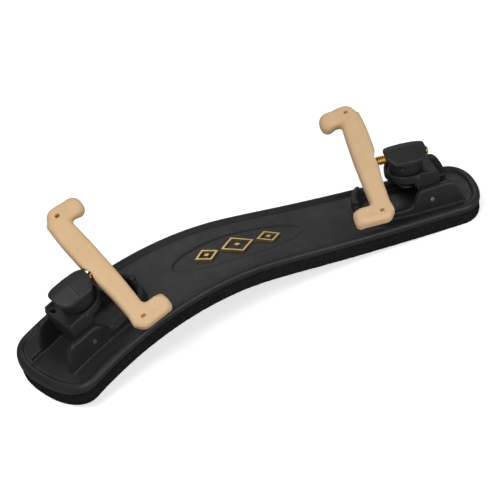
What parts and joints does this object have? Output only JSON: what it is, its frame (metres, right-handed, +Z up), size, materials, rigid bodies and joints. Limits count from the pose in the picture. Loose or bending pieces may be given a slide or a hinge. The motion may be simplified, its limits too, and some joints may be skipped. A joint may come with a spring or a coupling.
{
  "type": "violin shoulder rest",
  "caption": "Folding shoulder rest for a small violin: curved plate on a foam pad, with a hooked rubber fork on a brass height screw at each end.",
  "frame": {"origin": "on the table, under the middle of the folded rest's bounding box", "axes": "+X runs along the plate from the wide end to the narrow end, +Y is the outside of the bend, +Z up"},
  "size_m": [0.2058, 0.0612, 0.0618],
  "materials": {
    "plate_plastic": "moulded charcoal plastic, satin, fine texture",
    "bracket_plastic": "moulded charcoal plastic, satin",
    "knob_plastic": "moulded charcoal plastic, smoother, parting line down the middle",
    "pad_foam": "closed-cell foam, brownish black, speckled",
    "gilt": "pale gold foil on raised plastic",
    "pin_steel": "bright cut ends",
    "rivet_steel": "plain zinc-plated",
    "insert_brass": "turned",
    "screw_brass": "rolled thread, bright crests",
    "core_steel": "stamped, plain",
    "sleeve_rubber": "moulded beige rubber, matte"
  },
  "bodies": {
    "plate": {"base_plate": "plate_plastic", "foam_pad": "pad_foam", "badge_inlay": "gilt", "hinge_pin_left": "pin_steel", "hinge_pin_right": "pin_steel"},
    "bracket_left": {"swing_bracket_left": "bracket_plastic"},
    "knob_left": {"knob_left": "knob_plastic", "threaded_insert_left": "insert_brass", "swivel_rivet_left": "rivet_steel", "swivel_washer_left": "rivet_steel"},
    "screw_left": {"height_screw_left": "screw_brass"},
    "fork_left": {"fork_core_left": "core_steel", "fork_sleeve_left": "sleeve_rubber"},
    "bracket_right": {"swing_bracket_right": "bracket_plastic"},
    "knob_right": {"knob_right": "knob_plastic", "threaded_insert_right": "insert_brass", "swivel_rivet_right": "rivet_steel", "swivel_washer_right": "rivet_steel"},
    "screw_right": {"height_screw_right": "screw_brass"},
    "fork_right": {"fork_core_right": "core_steel", "fork_sleeve_right": "sleeve_rubber"}
  },
  "joints": [
    {"name": "fold_left", "type": "hinge", "parent": "plate", "child": "bracket_left", "pos_m": [-0.07977, -0.00158, 0.02103], "axis": [0.135, -0.9908, 0], "range_deg": [0, 90]},
    {"name": "swivel_left", "type": "hinge", "parent": "bracket_left", "child": "knob_left", "pos_m": [-0.07628, -0.0011, 0.03244], "axis": [-0.2417, -0.0329, 0.9698], "range_deg": [-18, 32]},
    {"name": "height_left", "type": "slide", "parent": "knob_left", "child": "screw_left", "axis": [0.9698, 0.0267, 0.2426], "range_m": [0, 0.006]},
    {"name": "turn_left", "type": "hinge", "parent": "screw_left", "child": "fork_left", "pos_m": [-0.06461, -0.00095, 0.04184], "axis": [-0.9698, -0.0267, -0.2426], "range_deg": [-1, 49]},
    {"name": "fold_right", "type": "hinge", "parent": "plate", "child": "bracket_right", "pos_m": [0.07992, -0.00846, 0.01382], "axis": [0.2515, 0.9679, 0], "range_deg": [0, 90]},
    {"name": "swivel_right", "type": "hinge", "parent": "bracket_right", "child": "knob_right", "pos_m": [0.07426, -0.00699, 0.02422], "axis": [-0.0325, 0.0085, -0.9994], "range_deg": [-33, 17]},
    {"name": "height_right", "type": "slide", "parent": "knob_right", "child": "screw_right", "axis": [-0.9474, 0.3182, 0.0335], "range_m": [0, 0.008]},
    {"name": "turn_right", "type": "hinge", "parent": "screw_right", "child": "fork_right", "pos_m": [0.05855, -0.00169, 0.03108], "axis": [-0.9474, 0.3182, 0.0335], "range_deg": [-3, 46]}
  ]
}
